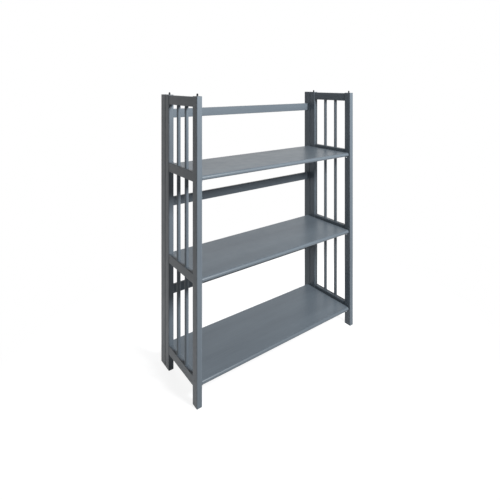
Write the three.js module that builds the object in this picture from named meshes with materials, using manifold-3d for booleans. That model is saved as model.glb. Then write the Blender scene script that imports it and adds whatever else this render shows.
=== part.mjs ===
// Folding bookcase: a back frame, two ladder sides hinged to it, and three shelves that flip up on pins.
// The shelves are lifted first, and then the sides fold in over them. Pins on the side posts let a second
// case stand on this one. Millimetres, +Z up, the front looks along -Y, and the origin is on the floor
// under the centre.
import * as THREE from 'three';
import { mergeVertices } from 'three/addons/utils/BufferGeometryUtils.js';
import Module from 'manifold-3d';

const wasm = await Module();
wasm.setup();

// Driving sizes
const overall = { width: 698.5, depth: 292.1, height: 965.2 };
const post = { thickness: 18, edgeRadius: 2.5, endChamfer: 0.8 };
const frontPost = { depth: 32 };
const stile = { depth: 32 };
const backPost = { depth: 38 };
const rail = { thickness: 16, height: 32, edgeRadius: 2, aboveShelf: 12, belowPostTop: 2 };
const tenon = { thickness: 8, height: 20, length: 10 };
const backRail = { thickness: 12, height: 32, edgeRadius: 2, aboveShelf: 164, behindRaisedShelf: 0.6 };
const backTenon = { thickness: 6, height: 20, length: 10 };
const spindle = { diameter: 12.7, seat: 8, perBay: 2 };
const shelf = { thickness: 15, setback: 5, endGap: 2, endRadius: 1.5, firstTop: 76, raisedBelowTop: 0.1 };
const pivotPin = { diameter: 6, inShelf: 22, inPost: 9 };
const shelfPin = { diameter: 6, length: 8, inPost: 10, tipRadius: 1 };
const stackPin = { diameter: 6, length: 8.5, inPost: 16 };
const socket = { diameter: 9, depth: 12 };
const hinge = {
  gap: 1, length: 40, leafWidth: 12, leafThickness: 1.2, barrelDiameter: 5, pinDiameter: 2.4,
  headDiameter: 4, headThickness: 1.2, standoff: 2.7, knuckles: 5, knuckleGap: 0.3, belowShelf: 28,
};
const fit = { joint: 0.1, bore: 0.15, rest: 0.3 };
const overrun = 5;
const facets = { corner: 2, nose: 8, dowel: 24, pin: 16, knuckle: 12, dome: 4 };

// Places that follow from them
const shelfNames = ['bottom', 'middle', 'top'];
const railNames = ['lower', 'middle', 'upper'];
const hingeNames = ['lower', 'upper'];
const frontY = -overall.depth / 2;
const rearY = overall.depth / 2;
const innerX = overall.width / 2 - post.thickness;
const backPostFrontY = rearY - backPost.depth;
const stileRearY = backPostFrontY - hinge.gap;
const stileFrontY = stileRearY - stile.depth;
const frontPostRearY = frontY + frontPost.depth;
const hingeY = backPostFrontY - hinge.gap / 2;
const pivotY = backPostFrontY + shelf.thickness / 2;
const shelfReach = pivotY - frontY - shelf.setback;
const topShelfTop = overall.height - shelf.raisedBelowTop - shelfReach + shelf.thickness / 2;
const shelfSpacing = (topShelfTop - shelf.firstTop) / (shelfNames.length - 1);
const shelfTops = shelfNames.map((name, i) => shelf.firstTop + i * shelfSpacing);
const pivotHeights = shelfTops.map((top) => top - shelf.thickness / 2);
const shelfPinHeights = shelfTops.map((top) => top - shelf.thickness - fit.rest - shelfPin.diameter / 2);
const hingeHeights = shelfTops.slice(1).map((top) => top - shelf.thickness - hinge.belowShelf);
const railHeights = shelfTops.map((top) => top + rail.aboveShelf - rail.height / 2);
const topRailHeight = overall.height - rail.belowPostTop - rail.height / 2;
const ladderHeights = [...railHeights, topRailHeight];
const backRailHeights = shelfTops.map((top) => top + backRail.aboveShelf + backRail.height / 2);
const backRailY = pivotY + shelf.thickness / 2 + backRail.behindRaisedShelf + backRail.thickness / 2;
const railSpan = stileFrontY - frontPostRearY;
const railY = (stileFrontY + frontPostRearY) / 2;
const spindleOffsets = Array.from(
  { length: spindle.perBay }, (none, i) => railSpan * ((i + 1) / (spindle.perBay + 1) - 1 / 2));

const finishes = {
  paint: { name: 'grey_paint', color: 0x8b959d, roughness: 0.45, metalness: 0 },
  steel: { name: 'dark_steel', color: 0x2e3134, roughness: 0.4, metalness: 0.9 },
  zinc: { name: 'zinc_plate', color: 0xb4b7b9, roughness: 0.35, metalness: 0.9 },
};

// Solid helpers: closed three.js geometries joined and cut as manifolds
function solid(geometry) {
  const bare = geometry.clone();
  bare.deleteAttribute('normal');
  bare.deleteAttribute('uv');
  const merged = mergeVertices(bare);
  return new wasm.Manifold(new wasm.Mesh({
    numProp: 3,
    vertProperties: merged.attributes.position.array,
    triVerts: new Uint32Array(merged.index.array),
  }));
}

function toGeometry(manifold) {
  const { vertProperties, triVerts } = manifold.getMesh();
  const geometry = new THREE.BufferGeometry();
  geometry.setAttribute('position', new THREE.BufferAttribute(vertProperties, 3));
  geometry.setIndex(new THREE.BufferAttribute(triVerts, 1));
  geometry.computeVertexNormals();
  return geometry;
}

const cut = (base, tools) =>
  toGeometry(tools.reduce((left, tool) => left.subtract(solid(tool)), solid(base)));

const join = (pieces) => toGeometry(pieces.map(solid).reduce((sum, piece) => sum.add(piece)));

// A box between two corners
function block(x0, x1, y0, y1, z0, z1) {
  const box = new THREE.BoxGeometry(Math.abs(x1 - x0), Math.abs(y1 - y0), Math.abs(z1 - z0));
  return box.translate((x0 + x1) / 2, (y0 + y1) / 2, (z0 + z1) / 2);
}

// A round bar centred on the origin, along X or Z
function bar(axis, diameter, length, sides) {
  const round = new THREE.CylinderGeometry(diameter / 2, diameter / 2, length, sides);
  return axis === 'x' ? round.rotateZ(Math.PI / 2) : round.rotateX(Math.PI / 2);
}

// A turned piece from a profile of [radius, height], with its axis along Z
const turned = (points, sides) =>
  new THREE.LatheGeometry(points.map(([r, z]) => new THREE.Vector2(r, z)), sides).rotateX(Math.PI / 2);

// A rectangle centred on the origin with rounded corners
function roundedRectangle(width, height, radius) {
  const x = width / 2 - radius;
  const y = height / 2 - radius;
  const outline = new THREE.Shape();
  outline.absarc(x, y, radius, 0, Math.PI / 2);
  outline.absarc(-x, y, radius, Math.PI / 2, Math.PI);
  outline.absarc(-x, -y, radius, Math.PI, Math.PI * 3 / 2);
  outline.absarc(x, -y, radius, Math.PI * 3 / 2, Math.PI * 2);
  return outline;
}

// A stick of the outline's section, from z = 0 up, with its ends eased by a bevel where one is given
function stick(outline, length, curveSegments, ease = 0, bevelSegments = 1) {
  const extruded = new THREE.ExtrudeGeometry(outline, {
    depth: length - 2 * ease, curveSegments, bevelEnabled: ease > 0,
    bevelThickness: ease, bevelSize: ease, bevelOffset: -ease, bevelSegments,
  });
  return extruded.translate(0, 0, ease);
}

const upright = (depth) => stick(
  roundedRectangle(post.thickness, depth, post.edgeRadius), overall.height, facets.corner, post.endChamfer);

function mesh(name, geometry, finish, x = 0, y = 0, z = 0) {
  const piece = new THREE.Mesh(geometry, new THREE.MeshStandardMaterial(finish));
  piece.name = name;
  piece.position.set(x, y, z);
  return piece;
}

// The mortise that takes a tenon, open past the face y = faceY; inward is the sign of y into the wood
const mortise = (faceY, inward, height) => block(
  -tenon.thickness / 2 - fit.joint, tenon.thickness / 2 + fit.joint,
  faceY - inward * overrun, faceY + inward * (tenon.length + fit.rest),
  height - tenon.height / 2 - fit.joint, height + tenon.height / 2 + fit.joint);

// The hole in a post's top for a stacking pin, and the socket in its foot for the pin of a case below
const stackingHoles = () => [
  bar('z', stackPin.diameter + 2 * fit.bore, stackPin.inPost + fit.rest + overrun, facets.pin)
    .translate(0, 0, overall.height + (overrun - stackPin.inPost - fit.rest) / 2),
  bar('z', socket.diameter, socket.depth + overrun, facets.pin).translate(0, 0, (socket.depth - overrun) / 2),
];

// The recess for one hinge leaf in the face y = faceY of a post whose outward sign is side
const leafRecess = (side, faceY, inward, height) => block(
  -side * (post.thickness / 2 + overrun), side * (hinge.leafWidth + fit.rest - post.thickness / 2),
  faceY - inward * overrun, faceY + inward * (hinge.leafThickness + fit.joint),
  height - hinge.length / 2 - fit.rest, height + hinge.length / 2 + fit.rest);

function frontPostGeometry(side) {
  const depthOfHole = shelfPin.inPost + fit.rest;
  const pinHoles = shelfPinHeights.map((height) =>
    bar('x', shelfPin.diameter + 2 * fit.bore, depthOfHole + overrun, facets.pin)
      .translate(-side * (post.thickness - depthOfHole + overrun) / 2, 0, height));
  const mortises = ladderHeights.map((height) => mortise(frontPost.depth / 2, -1, height));
  return cut(upright(frontPost.depth), [...mortises, ...pinHoles, ...stackingHoles()]);
}

function stileGeometry(side) {
  const mortises = ladderHeights.map((height) => mortise(-stile.depth / 2, 1, height));
  const recesses = hingeHeights.map((height) => leafRecess(side, stile.depth / 2, -1, height));
  return cut(upright(stile.depth), [...mortises, ...recesses, ...stackingHoles()]);
}

function backPostGeometry(side) {
  const centreY = rearY - backPost.depth / 2;
  const depthOfHole = pivotPin.inPost + fit.rest;
  const pivotHoles = pivotHeights.map((height) =>
    bar('x', pivotPin.diameter + 2 * fit.bore, depthOfHole + overrun, facets.pin)
      .translate(-side * (post.thickness - depthOfHole + overrun) / 2, pivotY - centreY, height));
  const mortises = backRailHeights.map((height) => block(
    -side * (post.thickness / 2 + overrun), side * (backTenon.length + fit.rest - post.thickness / 2),
    backRailY - centreY - backTenon.thickness / 2 - fit.joint,
    backRailY - centreY + backTenon.thickness / 2 + fit.joint,
    height - backTenon.height / 2 - fit.joint, height + backTenon.height / 2 + fit.joint));
  const recesses = hingeHeights.map((height) => leafRecess(side, -backPost.depth / 2, 1, height));
  return cut(upright(backPost.depth), [...pivotHoles, ...mortises, ...recesses]);
}

// A rail from the front post to the stile, with a tenon at each end and spindle holes where the flags say
function sideRailGeometry(holesAbove, holesBelow) {
  const length = railSpan - 2 * fit.joint;
  const section = roundedRectangle(rail.thickness, rail.height, rail.edgeRadius);
  const shoulder = stick(section, length, facets.corner)
    .translate(0, 0, -length / 2).rotateX(Math.PI / 2);
  const reach = length / 2 + tenon.length;
  const core = block(-tenon.thickness / 2, tenon.thickness / 2, -reach, reach,
    -tenon.height / 2, tenon.height / 2);
  const faces = [...(holesAbove ? [1] : []), ...(holesBelow ? [-1] : [])];
  const holeDepth = spindle.seat + fit.rest;
  const holes = faces.flatMap((up) => spindleOffsets.map((offset) =>
    bar('z', spindle.diameter + 2 * fit.bore, holeDepth + overrun, facets.dowel)
      .translate(0, offset, up * (rail.height - holeDepth + overrun) / 2)));
  return cut(join([shoulder, core]), holes);
}

function backRailGeometry() {
  const length = 2 * (innerX - fit.joint);
  const outline = roundedRectangle(backRail.height, backRail.thickness, backRail.edgeRadius);
  const shoulder = stick(outline, length, facets.corner).translate(0, 0, -length / 2).rotateY(Math.PI / 2);
  const reach = innerX - fit.joint + backTenon.length;
  const core = block(-reach, reach, -backTenon.thickness / 2, backTenon.thickness / 2,
    -backTenon.height / 2, backTenon.height / 2);
  return join([shoulder, core]);
}

// A pin with a domed tip that stands out of its hole; z = 0 is the mouth of the hole
function stackPinGeometry() {
  const radius = stackPin.diameter / 2;
  const shoulder = stackPin.length - radius;
  const dome = Array.from({ length: facets.dome + 1 }, (none, i) => {
    const angle = (i / facets.dome) * Math.PI / 2;
    return [i === facets.dome ? 0 : radius * Math.cos(angle), shoulder + radius * Math.sin(angle)];
  });
  return turned([[0, -stackPin.inPost], [radius, -stackPin.inPost], ...dome], facets.pin);
}

// The pin that a shelf rests on; it runs along X, tip towards the shelf
function shelfPinGeometry(side) {
  const radius = shelfPin.diameter / 2;
  const { tipRadius, length, inPost } = shelfPin;
  const profile = [[0, -inPost], [radius, -inPost], [radius, length - tipRadius],
    [radius - tipRadius, length], [0, length]];
  return turned(profile, facets.pin).rotateY(-side * Math.PI / 2);
}

// One hinge leaf about the barrel's axis; the fixed leaf lies at +Y with the outer knuckles
function leafGeometry(side, fixed) {
  const y0 = (fixed ? 1 : -1) * hinge.gap / 2;
  const y1 = (fixed ? 1 : -1) * (hinge.gap / 2 + hinge.leafThickness);
  const pitch = hinge.length / hinge.knuckles;
  const barrel = hinge.barrelDiameter / 2;
  const edge = hinge.standoff + fit.joint;
  const plate = block(side * edge, side * (hinge.standoff + hinge.leafWidth), y0, y1,
    -hinge.length / 2, hinge.length / 2);
  const knuckles = Array.from({ length: hinge.knuckles }, (none, i) => i)
    .filter((i) => (i % 2 === 0) === fixed)
    .flatMap((i) => {
      const centre = (i + 1 / 2) * pitch - hinge.length / 2;
      const half = (pitch - hinge.knuckleGap) / 2;
      const tube = bar('z', hinge.barrelDiameter, 2 * half, facets.knuckle).translate(0, 0, centre);
      return [tube, block(0, side * (edge + barrel), y0, y1, centre - half, centre + half)];
    });
  const bore = bar('z', hinge.pinDiameter + 2 * fit.bore, hinge.length + overrun, facets.knuckle);
  return cut(join([plate, ...knuckles]), [bore]);
}

function hingePinGeometry() {
  const shaft = hinge.pinDiameter / 2;
  const head = hinge.headDiameter / 2;
  const seat = hinge.length / 2 + fit.joint;
  const end = seat + hinge.headThickness;
  return turned([[0, -end], [head, -end], [head, -seat], [shaft, -seat],
    [shaft, seat], [head, seat], [head, end], [0, end]], facets.knuckle);
}

// A shelf board about its pivot axis, with a full round along its front and rear edges and a hole in each end
function shelfGeometry(length) {
  const radius = shelf.thickness / 2;
  const noseY = radius - shelfReach;
  const outline = new THREE.Shape();
  outline.absarc(0, 0, radius, -Math.PI / 2, Math.PI / 2);
  outline.absarc(noseY, 0, radius, Math.PI / 2, Math.PI * 3 / 2);
  const alongX = new THREE.Matrix4().makeBasis(
    new THREE.Vector3(0, 1, 0), new THREE.Vector3(0, 0, 1), new THREE.Vector3(1, 0, 0));
  const board = stick(outline, length, facets.nose, shelf.endRadius, 2).translate(0, 0, -length / 2)
    .applyMatrix4(alongX);
  const depthOfHole = pivotPin.inShelf + fit.rest;
  const holes = [-1, 1].map((side) =>
    bar('x', pivotPin.diameter + 2 * fit.bore, depthOfHole + overrun, facets.pin)
      .translate(side * (length - depthOfHole + overrun) / 2, 0, 0));
  return cut(board, holes);
}

// The back frame: two posts and three rails, with the fixed hinge leaves and the hinge pins
function backFrame() {
  const frame = new THREE.Group();
  const backPostY = rearY - backPost.depth / 2;
  for (const [word, side] of [['left', -1], ['right', 1]]) {
    frame.add(mesh(`${word}_back_post`, backPostGeometry(side), finishes.paint,
      side * (innerX + post.thickness / 2), backPostY));
    hingeHeights.forEach((height, i) => {
      const name = `${word}_${hingeNames[i]}_hinge`;
      const x = side * (innerX - hinge.standoff);
      frame.add(mesh(`${name}_fixed_leaf`, leafGeometry(side, true), finishes.steel, x, hingeY, height));
      frame.add(mesh(`${name}_pin`, hingePinGeometry(), finishes.steel, x, hingeY, height));
    });
  }
  backRailHeights.forEach((height, i) =>
    frame.add(mesh(`${shelfNames[i]}_back_rail`, backRailGeometry(), finishes.paint, 0, backRailY, height)));
  return frame;
}

// One ladder side: front post, stile, four rails, spindles, stacking pins, shelf pins and moving hinge leaves
function sideFrame(word, side) {
  const frame = new THREE.Group();
  frame.position.x = side * (innerX + post.thickness / 2);
  const frontPostY = frontY + frontPost.depth / 2;
  const stileY = stileRearY - stile.depth / 2;
  frame.add(mesh(`${word}_front_post`, frontPostGeometry(side), finishes.paint, 0, frontPostY));
  frame.add(mesh(`${word}_rear_stile`, stileGeometry(side), finishes.paint, 0, stileY));
  railHeights.forEach((height, i) =>
    frame.add(mesh(`${word}_${railNames[i]}_rail`, sideRailGeometry(true, i > 0), finishes.paint,
      0, railY, height)));
  frame.add(mesh(`${word}_top_rail`, sideRailGeometry(false, true), finishes.paint, 0, railY, topRailHeight));

  railNames.forEach((name, i) => {
    const low = ladderHeights[i] + rail.height / 2;
    const high = ladderHeights[i + 1] - rail.height / 2;
    const length = high - low + 2 * spindle.seat;
    spindleOffsets.forEach((offset, n) =>
      frame.add(mesh(`${word}_${name}_spindle_${n + 1}`, bar('z', spindle.diameter, length, facets.dowel),
        finishes.paint, 0, railY + offset, (low + high) / 2)));
  });

  frame.add(
    mesh(`${word}_front_stacking_pin`, stackPinGeometry(), finishes.steel, 0, frontPostY, overall.height),
    mesh(`${word}_rear_stacking_pin`, stackPinGeometry(), finishes.steel, 0, stileY, overall.height));
  shelfPinHeights.forEach((height, i) =>
    frame.add(mesh(`${word}_${shelfNames[i]}_shelf_pin`, shelfPinGeometry(side), finishes.zinc,
      -side * post.thickness / 2, frontPostY, height)));
  hingeHeights.forEach((height, i) =>
    frame.add(mesh(`${word}_${hingeNames[i]}_hinge_moving_leaf`, leafGeometry(side, false), finishes.steel,
      -side * (post.thickness / 2 + hinge.standoff), hingeY, height)));
  return frame;
}

// One shelf with a pivot pin at each end, placed by its pivot axis
function flipShelf(name, height) {
  const group = new THREE.Group();
  group.position.set(0, pivotY, height);
  const length = 2 * (innerX - shelf.endGap);
  group.add(mesh(`${name}_shelf_board`, shelfGeometry(length), finishes.paint));
  const pinLength = pivotPin.inShelf + shelf.endGap + pivotPin.inPost;
  for (const [word, side] of [['left', -1], ['right', 1]]) {
    group.add(mesh(`${name}_shelf_${word}_pivot_pin`, bar('x', pivotPin.diameter, pinLength, facets.pin),
      finishes.zinc, side * (innerX + pivotPin.inPost - pinLength / 2)));
  }
  return group;
}

const bookcase = new THREE.Group();
bookcase.add(backFrame(), sideFrame('left', -1), sideFrame('right', 1));
shelfNames.forEach((name, i) => bookcase.add(flipShelf(name, pivotHeights[i])));
export default bookcase;
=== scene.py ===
import math

import bmesh
import bpy
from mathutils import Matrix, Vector


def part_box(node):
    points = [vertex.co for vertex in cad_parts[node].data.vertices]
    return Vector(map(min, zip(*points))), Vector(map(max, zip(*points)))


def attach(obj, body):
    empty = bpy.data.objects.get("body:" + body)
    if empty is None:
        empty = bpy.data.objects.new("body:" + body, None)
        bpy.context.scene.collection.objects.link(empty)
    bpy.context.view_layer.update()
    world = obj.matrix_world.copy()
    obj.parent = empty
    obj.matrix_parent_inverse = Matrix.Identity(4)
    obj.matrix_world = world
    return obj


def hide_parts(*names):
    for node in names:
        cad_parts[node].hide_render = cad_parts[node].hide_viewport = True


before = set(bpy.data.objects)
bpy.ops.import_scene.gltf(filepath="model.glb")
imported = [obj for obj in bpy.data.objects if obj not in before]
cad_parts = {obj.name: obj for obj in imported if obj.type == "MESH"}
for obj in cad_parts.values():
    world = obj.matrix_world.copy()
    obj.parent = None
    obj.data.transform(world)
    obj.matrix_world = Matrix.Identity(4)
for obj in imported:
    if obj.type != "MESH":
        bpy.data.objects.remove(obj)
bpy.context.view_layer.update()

bl_info = {
    "name": "Folding Bookcase",
    "version": (1, 0, 0),
    "blender": (4, 5, 0),
    "location": "3D View > Sidebar > Bookcase",
    "description": "Finishes a folding bookcase: lacquered wood, spindles, steel pins, hinges and screws",
    "category": "Add Mesh",
}

MM = 0.001
SIDES = {"left": -1, "right": 1}
SHELVES = ("bottom", "middle", "top")
BAYS = ("lower", "middle", "upper")
HINGES = ("lower", "upper")
RAILS = ("lower", "middle", "upper", "top")
QUARTER_TURN = math.pi / 2
WHITE = (1.0, 1.0, 1.0, 1.0)

# Points closer than this are one point, on a copy of a node and on a piece that a tree has made
NODE_WELD = 0.002 * MM
TREE_WELD = 0.005 * MM
# Facets that lean less than this from each other are one flat face
FLATNESS = math.radians(0.5)
# An edge that bends more than this is sharp, on a flat-sided piece and on a turned one
SHARP_CORNER = math.radians(35)
SHARP_TURNED = math.radians(40)

# How many sides a round piece has, how far a pin's tip is rounded, and in how many steps
SPINDLE_SIDES = 48
BEAD_SIDES = 8
STACKING_PIN = {"Steps": 12, "Sides": 48}
SHELF_PIN = {"Tip": 1 * MM, "Steps": 6, "Sides": 40}
PIVOT_PIN = {"Tip": 0.5 * MM, "Steps": 4, "Sides": 40}
# A pin's last ring keeps this share of its girth, so that its end can be closed
PIN_END = 0.001

# A hinge screw's depth under the leaf, its height above it, and its sides
HINGE_SCREW = {"Recess": 0.9 * MM, "Proud": 0.12 * MM, "Sides": 32}
# How far the screws are from the stile's middle line, towards the shelves
SCREW_INSET = 3 * MM
# The stile and the back post are this far apart, and the hinge pin's axis is halfway between them
HINGE_GAP = 1 * MM

# Most of a noise texture's values lie between these
NOISE_LOW, NOISE_HIGH = 0.3, 0.7
# A colour mix has sockets of one name for several kinds of data, so these are told apart by number
MIX_SHARE, MIX_FIRST, MIX_SECOND, MIX_RESULT = 0, 6, 7, 2

# Each softbox: its place, what it faces, its side, the setting of its power, and whether gloss mirrors it
SOFTBOXES = {
    "key_softbox": ((0.2, -1.7, 1.6), (0.0, 0.0, 0.5), 0.5, "key_power", True),
    "right_softbox": ((2.1, 0.3, 0.5), (0.0, 0.0, 0.45), 0.8, "back_power", False),
    "back_softbox": ((0.0, 2.1, 0.5), (0.0, 0.0, 0.45), 0.8, "back_power", False),
}
# The floor reaches this far each way, and lies a hair under the feet so that the two surfaces don't meet
FLOOR_REACH = 6.0
FLOOR_DROP = 0.1 * MM
# The camera sees paper and shadow up to the first distance, and pure white from the second
PAPER_REACH, WHITE_REACH = 0.35, 0.95
# What is nearer to the camera than this isn't seen
NEAR_CLIP = 10 * MM


def linear(code):
    """Turn an sRGB hex colour into Blender's linear colour, by the sRGB standard's formula."""
    parts = [int(code[i:i + 2], 16) / 255 for i in (1, 3, 5)]
    return tuple(c / 12.92 if c <= 0.04045 else ((c + 0.055) / 1.055) ** 2.4 for c in parts) + (1.0,)


def shade(colour, share):
    """A colour darkened to a share of its brightness."""
    return tuple(share * c for c in colour[:3]) + (1.0,)


def add_node(tree, kind, settings=None, values=None):
    """Add a node, set its properties, and link or set its inputs, which are named or numbered."""
    node = tree.nodes.new(kind)
    for name, value in (settings or {}).items():
        setattr(node, name, value)
    for key, value in (values or {}).items():
        if isinstance(value, bpy.types.NodeSocket):
            tree.links.new(value, node.inputs[key])
        else:
            node.inputs[key].default_value = value
    return node


def new_material(name):
    """An empty material, its node tree, and the Object coordinates that its patterns read."""
    material = bpy.data.materials.new(name)
    material.use_nodes = True
    tree = material.node_tree
    tree.nodes.clear()
    return material, tree, add_node(tree, "ShaderNodeTexCoord").outputs["Object"]


class LacquerSettings(bpy.types.PropertyGroup):
    """The lacquered wood: its colours, its grain and how its edges are eased."""

    tone_light: bpy.props.FloatVectorProperty(
        name="Lighter Tone", description="The lacquer where the coat is fullest",
        subtype="COLOR", size=4, min=0, max=1, default=linear("#656e75"))
    tone_dark: bpy.props.FloatVectorProperty(
        name="Darker Tone", description="The lacquer where the wood shows through a little",
        subtype="COLOR", size=4, min=0, max=1, default=linear("#5b636a"))
    edge: bpy.props.FloatProperty(
        name="Edge Rounding", description="How far sanding has eased the sharp edges",
        subtype="DISTANCE", unit="LENGTH", min=0, default=0.3 * MM, precision=5)
    grain_width: bpy.props.FloatProperty(
        name="Grain Width", description="Width of the grain lines under the lacquer",
        subtype="DISTANCE", unit="LENGTH", min=0, default=3.0 * MM, precision=5)
    grain_length: bpy.props.FloatProperty(
        name="Grain Length", description="Length of the grain lines under the lacquer",
        subtype="DISTANCE", unit="LENGTH", min=0, default=110 * MM, precision=5)
    grain_depth: bpy.props.FloatProperty(
        name="Grain Depth", description="How deep the grain lines are in the lacquer",
        subtype="DISTANCE", unit="LENGTH", min=0, default=0.03 * MM, precision=6)


class HardwareSettings(bpy.types.PropertyGroup):
    """The steel parts: their colours and the sizes that the frame's boxes do not give."""

    black: bpy.props.FloatVectorProperty(
        name="Blackened Steel", description="Colour of the hinges, screws and stacking pins",
        subtype="COLOR", size=4, min=0, max=1, default=linear("#222426"))
    zinc: bpy.props.FloatVectorProperty(
        name="Zinc Plate", description="Colour of the shelf pins and pivot pins",
        subtype="COLOR", size=4, min=0, max=1, default=linear("#b9bdc1"))
    bead: bpy.props.FloatProperty(
        name="Lacquer Bead", description="Radius of the bead of lacquer where a spindle enters a rail",
        subtype="DISTANCE", unit="LENGTH", min=0, default=0.4 * MM, precision=5)
    stamped_edge: bpy.props.FloatProperty(
        name="Stamped Edge", description="Rounding of the edges of the hinge leaves and hinge pins",
        subtype="DISTANCE", unit="LENGTH", min=0, default=0.06 * MM, precision=5)
    screw_head: bpy.props.FloatProperty(
        name="Screw Head", description="Diameter of a hinge screw's head",
        subtype="DISTANCE", unit="LENGTH", min=0, default=5.0 * MM, precision=5)
    screw_spread: bpy.props.FloatProperty(
        name="Screw Spread", description="Height of each hinge screw above or below the hinge's middle",
        subtype="DISTANCE", unit="LENGTH", min=0, default=13 * MM, precision=5)


class StudioSettings(bpy.types.PropertyGroup):
    """The camera, the light and the floor."""

    lens: bpy.props.FloatProperty(
        name="Lens", description="Focal length of the camera", subtype="DISTANCE_CAMERA", default=29.504)
    camera_place: bpy.props.FloatVectorProperty(
        name="Camera Place", description="Where the camera stands", subtype="TRANSLATION", size=3,
        default=(-0.9096, -1.3201, 1.0071), precision=4)
    camera_turn: bpy.props.FloatProperty(
        name="Camera Turn", description="The camera's turn to the right of straight back",
        subtype="ANGLE", unit="ROTATION", default=math.radians(39.787))
    shift: bpy.props.FloatVectorProperty(
        name="Shift", description="How the picture is slid on the film, in shares of its width",
        size=2, default=(-0.1024, -0.3345), precision=4)
    key_power: bpy.props.FloatProperty(
        name="Key Power", description="Power of the softbox in front of the shelves",
        subtype="POWER", unit="POWER", min=0, default=68)
    back_power: bpy.props.FloatProperty(
        name="Back Power", description="Power of each softbox at the right and the back",
        subtype="POWER", unit="POWER", min=0, default=19)
    fill_strength: bpy.props.FloatProperty(
        name="Fill Strength", description="Strength of the white surroundings as a light",
        min=0, default=0.04)
    lamp_colour: bpy.props.FloatVectorProperty(
        name="Lamp Colour", description="Colour of the softboxes' light",
        subtype="COLOR", size=4, min=0, max=1, default=linear("#fafcff"))
    paper: bpy.props.FloatVectorProperty(
        name="Paper", description="Colour of the floor where it keeps the shadow",
        subtype="COLOR", size=4, min=0, max=1, default=linear("#b8b8b8"))


def grey_lacquer(axis):
    """Satin nitrocellulose lacquer, tinted grey and sprayed on sanded hardwood.

    To the eye it is one even blue-grey with a soft sheen. The closed grain runs along each piece as faint
    long lines, and the sprayed coat has a fine orange peel.
    """
    look = bpy.context.scene.bookcase_lacquer
    material, tree, place = new_material(f"Satin grey lacquer on hardwood, grain along {axis}")
    drift_across, drift_along, grain_share = 80 * MM, 500 * MM, 0.6
    peel_size, peel_height, sheen_size = 2 * MM, 0.006 * MM, 35 * MM

    # Real grain lines are under a millimetre wide: they are drawn about three times coarser, to show at all
    stretch = [1 / look.grain_width] * 3
    stretch["XYZ".index(axis)] = 1 / look.grain_length
    along = add_node(tree, "ShaderNodeMapping", values={"Vector": place, "Scale": stretch})
    grain = add_node(tree, "ShaderNodeTexNoise", values={
        "Vector": along.outputs["Vector"], "Scale": 1.0, "Detail": 3.0, "Roughness": 0.6, "Distortion": 0.3})
    # The coat also drifts in tone, over about a hand's width across a board and half a metre along it
    drift_scale = [1 / drift_across] * 3
    drift_scale["XYZ".index(axis)] = 1 / drift_along
    drift_place = add_node(tree, "ShaderNodeMapping", values={"Vector": place, "Scale": drift_scale})
    drift = add_node(tree, "ShaderNodeTexNoise", values={
        "Vector": drift_place.outputs["Vector"], "Scale": 1.0, "Detail": 2.0})
    tone = add_node(tree, "ShaderNodeMath", {"operation": "MULTIPLY_ADD"}, {
        0: grain.outputs["Fac"], 1: grain_share, 2: drift.outputs["Fac"]})
    share = add_node(tree, "ShaderNodeMapRange", values={
        "Value": tone.outputs["Value"], "From Min": 0.55, "From Max": 1.05, "To Min": 0.0, "To Max": 1.0})
    colour = add_node(tree, "ShaderNodeMix", {"data_type": "RGBA"}, {
        MIX_SHARE: share.outputs["Result"], MIX_FIRST: tuple(look.tone_dark),
        MIX_SECOND: tuple(look.tone_light)})
    # A sprayed coat has a fine orange peel, and its gloss is a little uneven
    peel = add_node(tree, "ShaderNodeTexNoise", values={
        "Vector": place, "Scale": 1 / peel_size, "Detail": 1.0})
    sheen = add_node(tree, "ShaderNodeTexNoise", values={
        "Vector": place, "Scale": 1 / sheen_size, "Detail": 3.0})
    roughness = add_node(tree, "ShaderNodeMapRange", values={
        "Value": sheen.outputs["Fac"], "From Min": NOISE_LOW, "From Max": NOISE_HIGH,
        "To Min": 0.33, "To Max": 0.39})
    grain_bump = add_node(tree, "ShaderNodeBump", values={
        "Strength": 0.5, "Distance": look.grain_depth, "Height": grain.outputs["Fac"]})
    peel_bump = add_node(tree, "ShaderNodeBump", values={
        "Strength": 1.0, "Distance": peel_height, "Height": peel.outputs["Fac"],
        "Normal": grain_bump.outputs["Normal"]})
    # The matting agent in the coat halves its mirror gloss
    shader = add_node(tree, "ShaderNodeBsdfPrincipled", values={
        "Base Color": colour.outputs[MIX_RESULT], "Roughness": roughness.outputs["Result"], "IOR": 1.5,
        "Specular IOR Level": 0.25, "Normal": peel_bump.outputs["Normal"]})
    add_node(tree, "ShaderNodeOutputMaterial", values={"Surface": shader.outputs["BSDF"]})
    return material


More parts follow.
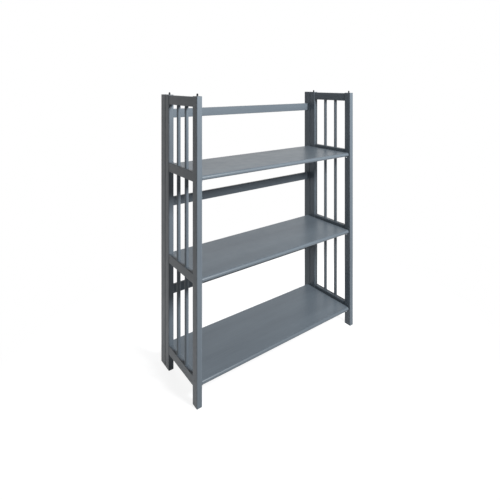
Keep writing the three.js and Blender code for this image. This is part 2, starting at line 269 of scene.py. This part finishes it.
def blackened_steel():
    """Mild steel, chemically blackened and oiled: nearly black, with a dull gleam that is a little uneven."""
    material, tree, place = new_material("Blackened steel")
    colour = tuple(bpy.context.scene.bookcase_hardware.black)
    cloud_size, cloud_shade, pit_size, pit_depth = 4 * MM, 0.8, 0.5 * MM, 0.008 * MM
    # The blackening takes in cloudy patches a few millimetres across
    cloud = add_node(tree, "ShaderNodeTexNoise", values={
        "Vector": place, "Scale": 1 / cloud_size, "Detail": 3.0})
    tint = add_node(tree, "ShaderNodeMix", {"data_type": "RGBA"}, {
        MIX_SHARE: cloud.outputs["Fac"], MIX_FIRST: shade(colour, cloud_shade), MIX_SECOND: colour})
    roughness = add_node(tree, "ShaderNodeMapRange", values={
        "Value": cloud.outputs["Fac"], "From Min": NOISE_LOW, "From Max": NOISE_HIGH,
        "To Min": 0.38, "To Max": 0.5})
    # Rolled sheet has fine pits: they are drawn half a millimetre wide, coarser than real ones, to show
    pits = add_node(tree, "ShaderNodeTexNoise", values={
        "Vector": place, "Scale": 1 / pit_size, "Detail": 2.0})
    bump = add_node(tree, "ShaderNodeBump", values={
        "Strength": 1.0, "Distance": pit_depth, "Height": pits.outputs["Fac"]})
    shader = add_node(tree, "ShaderNodeBsdfPrincipled", values={
        "Base Color": tint.outputs[MIX_RESULT], "Metallic": 0.9, "Roughness": roughness.outputs["Result"],
        "Normal": bump.outputs["Normal"]})
    add_node(tree, "ShaderNodeOutputMaterial", values={"Surface": shader.outputs["BSDF"]})
    return material


def zinc_plate():
    """Turned steel pins, zinc plated and clear passivated: pale bluish metal with fine turning lines."""
    material, tree, place = new_material("Zinc-plated steel")
    colour = tuple(bpy.context.scene.bookcase_hardware.zinc)
    patch_size, patch_shade, wave_unit, ring_depth = 1.5 * MM, 0.88, 5 * MM, 0.004 * MM
    # The plating has small patches that differ slightly in brightness and gloss
    patches = add_node(tree, "ShaderNodeTexVoronoi", values={"Vector": place, "Scale": 1 / patch_size})
    spread = add_node(tree, "ShaderNodeSeparateColor", values={"Color": patches.outputs["Color"]})
    tint = add_node(tree, "ShaderNodeMix", {"data_type": "RGBA"}, {
        MIX_SHARE: spread.outputs["Red"], MIX_FIRST: shade(colour, patch_shade), MIX_SECOND: colour})
    roughness = add_node(tree, "ShaderNodeMapRange", values={
        "Value": spread.outputs["Green"], "From Min": 0.0, "From Max": 1.0, "To Min": 0.26, "To Max": 0.36})
    # The pins lie along X, so their turning lines are rings. A wave has one every 0.31 of its unit, here
    # 1.6 mm: a lathe's are finer, and these are drawn coarser to show at all
    turning = add_node(tree, "ShaderNodeTexWave", {"bands_direction": "X"}, {
        "Vector": place, "Scale": 1 / wave_unit, "Distortion": 0.4})
    bump = add_node(tree, "ShaderNodeBump", values={
        "Strength": 1.0, "Distance": ring_depth, "Height": turning.outputs["Fac"]})
    shader = add_node(tree, "ShaderNodeBsdfPrincipled", values={
        "Base Color": tint.outputs[MIX_RESULT], "Metallic": 1.0, "Roughness": roughness.outputs["Result"],
        "Normal": bump.outputs["Normal"]})
    add_node(tree, "ShaderNodeOutputMaterial", values={"Surface": shader.outputs["BSDF"]})
    return material


FINISHES = {
    "lacquer_x": lambda: grey_lacquer("X"),
    "lacquer_y": lambda: grey_lacquer("Y"),
    "lacquer_z": lambda: grey_lacquer("Z"),
    "black": blackened_steel,
    "zinc": zinc_plate,
}
made_finishes = {}


def finish(name):
    """The named material, made the first time that it is asked for."""
    if name not in made_finishes:
        made_finishes[name] = FINISHES[name]()
    return made_finishes[name]


def link(name, data):
    """Put a mesh, a lamp or a camera in the scene as an object at the origin."""
    piece = bpy.data.objects.new(name, data)
    bpy.context.scene.collection.objects.link(piece)
    return piece


def fit_out(piece, body, nodes):
    """Make a piece move with its body, and hide the nodes it stands for."""
    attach(piece, body)
    if nodes:
        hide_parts(*nodes)


def refinish(node, look, edge, body):
    """Replace a node with a welded copy that has smooth curves, whole flat faces and rounded edges."""
    work = bmesh.new()
    work.from_mesh(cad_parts[node].data)
    bmesh.ops.remove_doubles(work, verts=work.verts, dist=NODE_WELD)
    bmesh.ops.dissolve_limit(
        work, angle_limit=FLATNESS, use_dissolve_boundaries=False, verts=work.verts, edges=work.edges)
    for face in work.faces:
        face.smooth = True
    mesh = bpy.data.meshes.new(f"{node}_finished")
    work.to_mesh(mesh)
    work.free()
    mesh.materials.append(finish(look))
    piece = link(f"{node}_finished", mesh)
    ease = piece.modifiers.new("Eased edges", "BEVEL")
    ease.width = edge
    ease.segments = 2
    ease.limit_method = "ANGLE"
    ease.angle_limit = SHARP_CORNER
    flat = piece.modifiers.new("Flat faces", "WEIGHTED_NORMAL")
    flat.keep_sharp = True
    fit_out(piece, body, [node])


def new_tree(name, inputs):
    """A Geometry Nodes tree with a geometry input, the named inputs and a geometry output."""
    tree = bpy.data.node_groups.new(name, "GeometryNodeTree")
    tree.interface.new_socket("Points", in_out="INPUT", socket_type="NodeSocketGeometry")
    for label, kind in inputs.items():
        tree.interface.new_socket(label, in_out="INPUT", socket_type=kind)
    tree.interface.new_socket("Geometry", in_out="OUTPUT", socket_type="NodeSocketGeometry")
    entry = add_node(tree, "NodeGroupInput")
    return tree, entry.outputs


def close_tree(tree, parts, material):
    """End a tree: join its parts, make the instances real and give them the material."""
    joined = add_node(tree, "GeometryNodeJoinGeometry")
    for part in parts:
        tree.links.new(part, joined.inputs["Geometry"])
    real = add_node(tree, "GeometryNodeRealizeInstances", values={"Geometry": joined.outputs["Geometry"]})
    painted = add_node(tree, "GeometryNodeSetMaterial", values={
        "Geometry": real.outputs["Geometry"], "Material": material})
    add_node(tree, "NodeGroupOutput", values={0: painted.outputs["Geometry"]})


def turned_copies(tree, points, shape):
    """A copy of a shape on each point, turned by the point's own turn."""
    turn = add_node(tree, "GeometryNodeInputNamedAttribute", {"data_type": "FLOAT_VECTOR"}, {"Name": "turn"})
    rotation = add_node(tree, "FunctionNodeEulerToRotation", values={"Euler": turn.outputs["Attribute"]})
    copies = add_node(tree, "GeometryNodeInstanceOnPoints", values={
        "Points": points, "Instance": shape, "Rotation": rotation.outputs["Rotation"]})
    return copies.outputs["Instances"]


def spindle_tree():
    """Round spindles, each centred on a point and as long as its length says, with a bead at each rail."""
    tree, given = new_tree("Spindles", {
        "Radius": "NodeSocketFloat", "Seat": "NodeSocketFloat", "Bead": "NodeSocketFloat",
        "Sides": "NodeSocketInt", "Material": "NodeSocketMaterial"})
    length = add_node(tree, "GeometryNodeInputNamedAttribute", {"data_type": "FLOAT"}, {"Name": "length"})
    length = length.outputs["Attribute"]
    rod = add_node(tree, "GeometryNodeMeshCylinder", {"fill_type": "NGON"}, {
        "Vertices": given["Sides"], "Radius": given["Radius"], "Depth": 1.0})
    scale = add_node(tree, "ShaderNodeCombineXYZ", values={"X": 1.0, "Y": 1.0, "Z": length})
    rods = add_node(tree, "GeometryNodeInstanceOnPoints", values={
        "Points": given["Points"], "Instance": rod.outputs["Mesh"], "Scale": scale.outputs["Vector"]})
    ring = add_node(tree, "GeometryNodeCurvePrimitiveCircle", {"mode": "RADIUS"}, {
        "Resolution": given["Sides"], "Radius": given["Radius"]})
    section = add_node(tree, "GeometryNodeCurvePrimitiveCircle", {"mode": "RADIUS"}, {
        "Resolution": BEAD_SIDES, "Radius": given["Bead"]})
    bead = add_node(tree, "GeometryNodeCurveToMesh", values={
        "Curve": ring.outputs["Curve"], "Profile Curve": section.outputs["Curve"]})
    half = add_node(tree, "ShaderNodeMath", {"operation": "MULTIPLY"}, {0: length, 1: 0.5})
    to_mouth = add_node(tree, "ShaderNodeMath", {"operation": "SUBTRACT"}, {
        0: half.outputs["Value"], 1: given["Seat"]})
    beads = []
    for way in (-1.0, 1.0):
        height = add_node(tree, "ShaderNodeMath", {"operation": "MULTIPLY"}, {
            0: to_mouth.outputs["Value"], 1: way})
        offset = add_node(tree, "ShaderNodeCombineXYZ", values={"Z": height.outputs["Value"]})
        mouths = add_node(tree, "GeometryNodeSetPosition", values={
            "Geometry": given["Points"], "Offset": offset.outputs["Vector"]})
        placed = add_node(tree, "GeometryNodeInstanceOnPoints", values={
            "Points": mouths.outputs["Geometry"], "Instance": bead.outputs["Mesh"]})
        beads.append(placed.outputs["Instances"])
    close_tree(tree, [rods.outputs["Instances"], *beads], given["Material"])
    return tree


def pin_tree():
    """Turned pins that stand on points, along Z turned by each point's turn, with a rounded tip."""
    tree, given = new_tree("Turned pins", {
        "Radius": "NodeSocketFloat", "Length": "NodeSocketFloat", "Tip": "NodeSocketFloat",
        "Steps": "NodeSocketInt", "Sides": "NodeSocketInt", "Material": "NodeSocketMaterial"})
    # The centre line has a point at the root and Steps + 1 points up the tip's quarter circle
    index = add_node(tree, "GeometryNodeInputIndex").outputs["Index"]
    known = {"index": index, "steps": given["Steps"], "length": given["Length"], "tip": given["Tip"],
             "radius": given["Radius"]}
    for name, operation, first, second in (
            ("count", "ADD", "steps", 2.0),
            ("past_root", "SUBTRACT", "index", 1.0),
            ("share", "DIVIDE", "past_root", "steps"),
            ("angle", "MULTIPLY", "share", QUARTER_TURN),
            ("root", "LESS_THAN", "index", 0.5),
            ("above_root", "SUBTRACT", 1.0, "root"),
            ("shoulder", "SUBTRACT", "length", "tip"),
            ("sine", "SINE", "angle", 0.0),
            ("rise", "MULTIPLY", "tip", "sine"),
            ("reach", "ADD", "shoulder", "rise"),
            ("height", "MULTIPLY", "reach", "above_root"),
            ("cosine", "COSINE", "angle", 0.0),
            ("closing", "SUBTRACT", 1.0, "cosine"),
            ("narrowing", "MULTIPLY", "tip", "closing"),
            ("narrower", "MULTIPLY", "narrowing", "above_root"),
            ("narrower_share", "DIVIDE", "narrower", "radius"),
            ("girth_share", "SUBTRACT", 1.0, "narrower_share"),
            ("scale", "MAXIMUM", "girth_share", PIN_END)):
        step = add_node(tree, "ShaderNodeMath", {"operation": operation}, {
            0: known.get(first, first), 1: known.get(second, second)})
        known[name] = step.outputs["Value"]
    end = add_node(tree, "ShaderNodeCombineXYZ", values={"Z": given["Length"]})
    spine = add_node(tree, "GeometryNodeCurvePrimitiveLine", {"mode": "POINTS"}, {
        "End": end.outputs["Vector"]})
    fine = add_node(tree, "GeometryNodeResampleCurve", {"mode": "COUNT"}, {
        "Curve": spine.outputs["Curve"], "Count": known["count"]})
    place = add_node(tree, "ShaderNodeCombineXYZ", values={"Z": known["height"]})
    profile = add_node(tree, "GeometryNodeSetPosition", values={
        "Geometry": fine.outputs["Curve"], "Position": place.outputs["Vector"]})
    section = add_node(tree, "GeometryNodeCurvePrimitiveCircle", {"mode": "RADIUS"}, {
        "Resolution": given["Sides"], "Radius": given["Radius"]})
    skin = add_node(tree, "GeometryNodeCurveToMesh", values={
        "Curve": profile.outputs["Geometry"], "Profile Curve": section.outputs["Curve"],
        "Scale": known["scale"], "Fill Caps": True})
    close_tree(tree, [turned_copies(tree, given["Points"], skin.outputs["Mesh"])], given["Material"])
    return tree


def screw_tree():
    """Countersunk screw heads with a cross recess, level with the points and facing each point's turn."""
    tree, given = new_tree("Hinge screws", {
        "Head": "NodeSocketFloat", "Recess": "NodeSocketFloat", "Proud": "NodeSocketFloat",
        "Sides": "NodeSocketInt", "Material": "NodeSocketMaterial"})
    known = {"head": given["Head"], "recess": given["Recess"]}
    for name, whole, share in (
            ("radius", "head", 0.5), ("rim_top", "radius", 0.88), ("cone_bottom", "radius", 0.7),
            ("sink", "recess", -1.0), ("slot_width", "head", 0.14), ("slot_length", "head", 0.56)):
        part = add_node(tree, "ShaderNodeMath", {"operation": "MULTIPLY"}, {0: known[whole], 1: share})
        known[name] = part.outputs["Value"]
    # The rim's chamfer stands proud of the leaf, and the cone below it is sunk in the leaf
    rim = add_node(tree, "GeometryNodeMeshCone", {"fill_type": "NGON"}, {
        "Vertices": given["Sides"], "Radius Bottom": known["radius"], "Depth": given["Proud"],
        "Radius Top": known["rim_top"]})
    cone = add_node(tree, "GeometryNodeMeshCone", {"fill_type": "NGON"}, {
        "Vertices": given["Sides"], "Radius Top": known["radius"], "Depth": given["Recess"],
        "Radius Bottom": known["cone_bottom"]})
    down = add_node(tree, "ShaderNodeCombineXYZ", values={"Z": known["sink"]})
    sunk = add_node(tree, "GeometryNodeTransform", values={
        "Geometry": cone.outputs["Mesh"], "Translation": down.outputs["Vector"]})
    body = add_node(tree, "GeometryNodeMeshBoolean", {"operation": "UNION", "solver": "EXACT"})
    tree.links.new(rim.outputs["Mesh"], body.inputs["Mesh 2"])
    tree.links.new(sunk.outputs["Geometry"], body.inputs["Mesh 2"])
    cross = add_node(tree, "GeometryNodeMeshBoolean", {"operation": "UNION", "solver": "EXACT"})
    for wide, deep in (("slot_width", "slot_length"), ("slot_length", "slot_width")):
        arm = add_node(tree, "ShaderNodeCombineXYZ", values={
            "X": known[wide], "Y": known[deep], "Z": given["Recess"]})
        slot = add_node(tree, "GeometryNodeMeshCube", values={"Size": arm.outputs["Vector"]})
        tree.links.new(slot.outputs["Mesh"], cross.inputs["Mesh 2"])
    head = add_node(tree, "GeometryNodeMeshBoolean", {"operation": "DIFFERENCE", "solver": "EXACT"}, {
        "Mesh 1": body.outputs["Mesh"], "Mesh 2": cross.outputs["Mesh"]})
    close_tree(tree, [turned_copies(tree, given["Points"], head.outputs["Mesh"])], given["Material"])
    return tree


def grow(name, tree, places, values, fields):
    """Run a tree on loose points, which carry the fields, and keep the result as one smooth, crisp mesh."""
    points = bpy.data.meshes.new(f"{name}_points")
    points.from_pydata([tuple(place) for place in places], [], [])
    for label, (kind, rows) in fields.items():
        column = points.attributes.new(label, kind, "POINT")
        for item, value in zip(column.data, rows):
            if kind == "FLOAT":
                item.value = value
            else:
                item.vector = value
    piece = link(name, points)
    build = piece.modifiers.new("Build", "NODES")
    build.node_group = tree
    for item in tree.interface.items_tree:
        if item.in_out == "INPUT" and item.name in values:
            build[item.identifier] = values[item.name]
    graph = bpy.context.evaluated_depsgraph_get()
    mesh = bpy.data.meshes.new_from_object(piece.evaluated_get(graph), depsgraph=graph)
    piece.modifiers.remove(build)
    work = bmesh.new()
    work.from_mesh(mesh)
    bmesh.ops.remove_doubles(work, verts=work.verts, dist=TREE_WELD)
    bmesh.ops.recalc_face_normals(work, faces=work.faces)
    work.to_mesh(mesh)
    work.free()
    mesh.shade_smooth()
    mesh.set_sharp_from_angle(angle=SHARP_TURNED)
    mesh.name = name
    piece.data = mesh
    bpy.data.meshes.remove(points)
    if not mesh.polygons:
        raise RuntimeError(f"{name} came out empty")
    return piece


def middle(node):
    """The centre of a node's box."""
    low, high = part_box(node)
    return (Vector(low) + Vector(high)) / 2


def extent(node):
    """The three sides of a node's box."""
    low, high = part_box(node)
    return Vector(high) - Vector(low)


def turned_pins(name, tree, nodes, headings, shape, look):
    """One piece of pins, each as long and as thick as its node, pointing up or sideways by its heading."""
    size = extent(nodes[0])
    length = abs(headings[0].dot(size))
    roots = [middle(node) - heading * (length / 2) for node, heading in zip(nodes, headings)]
    return grow(name, tree, roots, {
        "Radius": size.y / 2, "Length": length, **shape, "Material": finish(look),
    }, {"turn": ("FLOAT_VECTOR", [(0, heading.x * QUARTER_TURN, 0) for heading in headings])})


class BOOKCASE_OT_uprights(bpy.types.Operator):
    """Finish the front posts, rear stiles and back posts"""

    bl_idname = "bookcase.uprights"
    bl_label = "Posts and Stiles"

    def execute(self, context):
        edge = context.scene.bookcase_lacquer.edge
        for side in SIDES:
            for word, body in (("front_post", f"{side}_side"), ("rear_stile", f"{side}_side"),
                               ("back_post", "back_frame")):
                refinish(f"{side}_{word}", "lacquer_z", edge, body)
        return {"FINISHED"}


class BOOKCASE_OT_rails(bpy.types.Operator):
    """Finish the rails of the ladder sides and of the back frame"""

    bl_idname = "bookcase.rails"
    bl_label = "Rails"

    def execute(self, context):
        edge = context.scene.bookcase_lacquer.edge
        for side in SIDES:
            for word in RAILS:
                refinish(f"{side}_{word}_rail", "lacquer_y", edge, f"{side}_side")
        for word in SHELVES:
            refinish(f"{word}_back_rail", "lacquer_x", edge, "back_frame")
        return {"FINISHED"}


class BOOKCASE_OT_shelves(bpy.types.Operator):
    """Finish the three shelf boards"""

    bl_idname = "bookcase.shelves"
    bl_label = "Shelf Boards"

    def execute(self, context):
        edge = context.scene.bookcase_lacquer.edge
        for word in SHELVES:
            refinish(f"{word}_shelf_board", "lacquer_x", edge, f"{word}_shelf")
        return {"FINISHED"}


class BOOKCASE_OT_spindles(bpy.types.Operator):
    """Turn the spindles of both ladder sides, each with a bead of lacquer where it enters a rail"""

    bl_idname = "bookcase.spindles"
    bl_label = "Spindles"

    def execute(self, context):
        tree = spindle_tree()
        for side in SIDES:
            nodes = [f"{side}_{bay}_spindle_{n}" for bay in BAYS for n in (1, 2)]
            first = nodes[0]
            # A spindle is seated in a rail from its end up to the rail's face
            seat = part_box(f"{side}_lower_rail")[1][2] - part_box(first)[0][2]
            piece = grow(f"{side}_spindles", tree, [middle(node) for node in nodes], {
                "Radius": extent(first).y / 2, "Seat": seat, "Bead": context.scene.bookcase_hardware.bead,
                "Sides": SPINDLE_SIDES, "Material": finish("lacquer_z"),
            }, {"length": ("FLOAT", [extent(node).z for node in nodes])})
            fit_out(piece, f"{side}_side", nodes)
        return {"FINISHED"}


class BOOKCASE_OT_pins(bpy.types.Operator):
    """Turn the stacking pins, the shelf pins and the pivot pins"""

    bl_idname = "bookcase.pins"
    bl_label = "Stacking, Shelf and Pivot Pins"

    def execute(self, context):
        tree = pin_tree()
        # A stacking pin stands up, a shelf pin points inwards from its post and a pivot pin out of its board
        up = Vector((0, 0, 1))
        outwards = {side: Vector((way, 0, 0)) for side, way in SIDES.items()}
        for side, out in outwards.items():
            nodes = [f"{side}_{word}_stacking_pin" for word in ("front", "rear")]
            domed = {**STACKING_PIN, "Tip": extent(nodes[0]).y / 2}
            piece = turned_pins(f"{side}_stacking_pins", tree, nodes, [up] * len(nodes), domed, "black")
            fit_out(piece, f"{side}_side", nodes)

            nodes = [f"{side}_{word}_shelf_pin" for word in SHELVES]
            piece = turned_pins(f"{side}_shelf_pins", tree, nodes, [-out] * len(nodes), SHELF_PIN, "zinc")
            fit_out(piece, f"{side}_side", nodes)
        ways = list(outwards.values())
        for word in SHELVES:
            nodes = [f"{word}_shelf_{side}_pivot_pin" for side in SIDES]
            piece = turned_pins(f"{word}_shelf_pivot_pins", tree, nodes, ways, PIVOT_PIN, "zinc")
            fit_out(piece, f"{word}_shelf", nodes)
        return {"FINISHED"}


class BOOKCASE_OT_hinges(bpy.types.Operator):
    """Finish the hinge leaves and hinge pins"""

    bl_idname = "bookcase.hinges"
    bl_label = "Hinges"

    def execute(self, context):
        edge = context.scene.bookcase_hardware.stamped_edge
        for side in SIDES:
            for word in HINGES:
                for part, body in (("fixed_leaf", "back_frame"), ("pin", "back_frame"),
                                   ("moving_leaf", f"{side}_side")):
                    refinish(f"{side}_{word}_hinge_{part}", "black", edge, body)
        return {"FINISHED"}


class BOOKCASE_OT_screws(bpy.types.Operator):
    """Set two countersunk screws in each hinge leaf"""

    bl_idname = "bookcase.screws"
    bl_label = "Hinge Screws"

    def execute(self, context):
        look = context.scene.bookcase_hardware
        tree = screw_tree()
        places = {}
        for side, way in SIDES.items():
            for word in HINGES:
                pin = middle(f"{side}_{word}_hinge_pin")
                across = middle(f"{side}_rear_stile").x - way * SCREW_INSET
                # The leaf on the back post faces forwards, and the leaf on the stile faces backwards
                for body, facing in (("back_frame", -1), (f"{side}_side", 1)):
                    for up in (-1, 1):
                        spot = (across, pin.y - facing * HINGE_GAP / 2, pin.z + up * look.screw_spread)
                        places.setdefault(body, []).append((spot, facing))
        for body, rows in places.items():
            piece = grow(f"{body}_hinge_screws", tree, [spot for spot, facing in rows], {
                "Head": look.screw_head, **HINGE_SCREW, "Material": finish("black"),
            }, {"turn": ("FLOAT_VECTOR", [(-facing * QUARTER_TURN, 0, 0) for spot, facing in rows])})
            fit_out(piece, body, [])
        return {"FINISHED"}


def straight_rays(tree):
    """1 for the camera's rays, reflections and what passes through glass, and 0 for the light on surfaces."""
    rays = add_node(tree, "ShaderNodeLightPath").outputs
    either = add_node(tree, "ShaderNodeMath", {"operation": "MAXIMUM"}, {
        0: rays["Is Camera Ray"], 1: rays["Is Glossy Ray"]})
    seen = add_node(tree, "ShaderNodeMath", {"operation": "MAXIMUM"}, {
        0: either.outputs["Value"], 1: rays["Is Transmission Ray"]})
    return seen.outputs["Value"]


def studio_floor(paper_colour):
    """Matt white paper under the object that fades into pure white away from it, as the camera sees it."""
    material, tree, place = new_material("White paper floor")
    flat = add_node(tree, "ShaderNodeMapping", values={"Vector": place, "Scale": (1.0, 1.0, 0.0)})
    reach = add_node(tree, "ShaderNodeVectorMath", {"operation": "LENGTH"}, {0: flat.outputs["Vector"]})
    # Near the object the camera sees half paper, which keeps the shadow, and half light that makes up white
    light_share, light_strength = 0.5, 1.78
    share = add_node(tree, "ShaderNodeMapRange", {"interpolation_type": "SMOOTHSTEP"}, {
        "Value": reach.outputs["Value"], "From Min": PAPER_REACH, "From Max": WHITE_REACH,
        "To Min": light_share, "To Max": 1.0})
    glow = add_node(tree, "ShaderNodeMapRange", {"interpolation_type": "SMOOTHSTEP"}, {
        "Value": reach.outputs["Value"], "From Min": PAPER_REACH, "From Max": WHITE_REACH,
        "To Min": light_strength, "To Max": 1.0})
    seen = add_node(tree, "ShaderNodeMath", {"operation": "MULTIPLY"}, {
        0: share.outputs["Result"], 1: straight_rays(tree)})
    paper = add_node(tree, "ShaderNodeBsdfDiffuse", values={"Color": tuple(paper_colour)})
    white = add_node(tree, "ShaderNodeEmission", values={
        "Color": WHITE, "Strength": glow.outputs["Result"]})
    mixed = add_node(tree, "ShaderNodeMixShader", values={
        0: seen.outputs["Value"], 1: paper.outputs["BSDF"], 2: white.outputs["Emission"]})
    add_node(tree, "ShaderNodeOutputMaterial", values={"Surface": mixed.outputs["Shader"]})
    return material


def white_surroundings(strength):
    """A world that looks pure white and lights the object softly at the given strength."""
    world = bpy.data.worlds.new("White surroundings")
    world.use_nodes = True
    tree = world.node_tree
    tree.nodes.clear()
    level = add_node(tree, "ShaderNodeMapRange", values={
        "Value": straight_rays(tree), "From Min": 0.0, "From Max": 1.0, "To Min": strength, "To Max": 1.0})
    light = add_node(tree, "ShaderNodeBackground", values={
        "Color": WHITE, "Strength": level.outputs["Result"]})
    add_node(tree, "ShaderNodeOutputWorld", values={"Surface": light.outputs["Background"]})
    return world


def softbox(name, place, target, side, power, colour, mirrored):
    """A square area light that faces the target. One that isn't mirrored leaves no glare on gloss."""
    lamp = bpy.data.lights.new(name, "AREA")
    lamp.size = side
    lamp.energy = power
    lamp.color = colour[:3]
    box = link(name, lamp)
    box.location = place
    box.rotation_euler = (Vector(target) - Vector(place)).to_track_quat("-Z", "Y").to_euler()
    box.visible_glossy = mirrored


class BOOKCASE_OT_stage(bpy.types.Operator):
    """Set up the white floor, the soft light and the camera"""

    bl_idname = "bookcase.stage"
    bl_label = "Studio"

    def execute(self, context):
        scene = context.scene
        studio = scene.bookcase_studio
        corners = [(x * FLOOR_REACH, y * FLOOR_REACH, 0) for x, y in ((-1, -1), (1, -1), (1, 1), (-1, 1))]
        mesh = bpy.data.meshes.new("floor")
        mesh.from_pydata(corners, [], [(0, 1, 2, 3)])
        mesh.materials.append(studio_floor(studio.paper))
        floor = link("floor", mesh)
        floor.location.z = -FLOOR_DROP

        scene.world = white_surroundings(studio.fill_strength)
        for name, (place, target, side, power, mirrored) in SOFTBOXES.items():
            softbox(name, place, target, side, getattr(studio, power), studio.lamp_colour, mirrored)

        camera = link("camera", bpy.data.cameras.new("camera"))
        camera.data.lens = studio.lens
        camera.data.shift_x, camera.data.shift_y = studio.shift
        camera.data.clip_start = NEAR_CLIP
        camera.location = studio.camera_place
        camera.rotation_euler = (QUARTER_TURN, 0, -studio.camera_turn)
        scene.camera = camera
        scene.view_settings.view_transform = "Standard"
        return {"FINISHED"}


class BOOKCASE_PT_parts(bpy.types.Panel):
    """The steps that finish the bookcase, in order"""

    bl_idname = "BOOKCASE_PT_parts"
    bl_label = "Folding Bookcase"
    bl_space_type = "VIEW_3D"
    bl_region_type = "UI"
    bl_category = "Bookcase"

    def draw(self, context):
        for group in GROUPS:
            settings = getattr(context.scene, group)
            column = self.layout.column()
            for name in settings.__annotations__:
                column.prop(settings, name)
        for step in STEPS:
            self.layout.operator(step.bl_idname)


STEPS = (BOOKCASE_OT_uprights, BOOKCASE_OT_rails, BOOKCASE_OT_shelves, BOOKCASE_OT_spindles,
         BOOKCASE_OT_pins, BOOKCASE_OT_hinges, BOOKCASE_OT_screws, BOOKCASE_OT_stage)
GROUPS = {"bookcase_lacquer": LacquerSettings, "bookcase_hardware": HardwareSettings,
          "bookcase_studio": StudioSettings}


def register():
    for kind in (*GROUPS.values(), *STEPS, BOOKCASE_PT_parts):
        bpy.utils.register_class(kind)
    for name, kind in GROUPS.items():
        setattr(bpy.types.Scene, name, bpy.props.PointerProperty(type=kind))


def unregister():
    for name in GROUPS:
        delattr(bpy.types.Scene, name)
    for kind in (BOOKCASE_PT_parts, *reversed(STEPS), *GROUPS.values()):
        bpy.utils.unregister_class(kind)


def main():
    register()
    for step in STEPS:
        group, name = step.bl_idname.split(".")
        getattr(getattr(bpy.ops, group), name)()


if __name__ == "__main__":
    main()
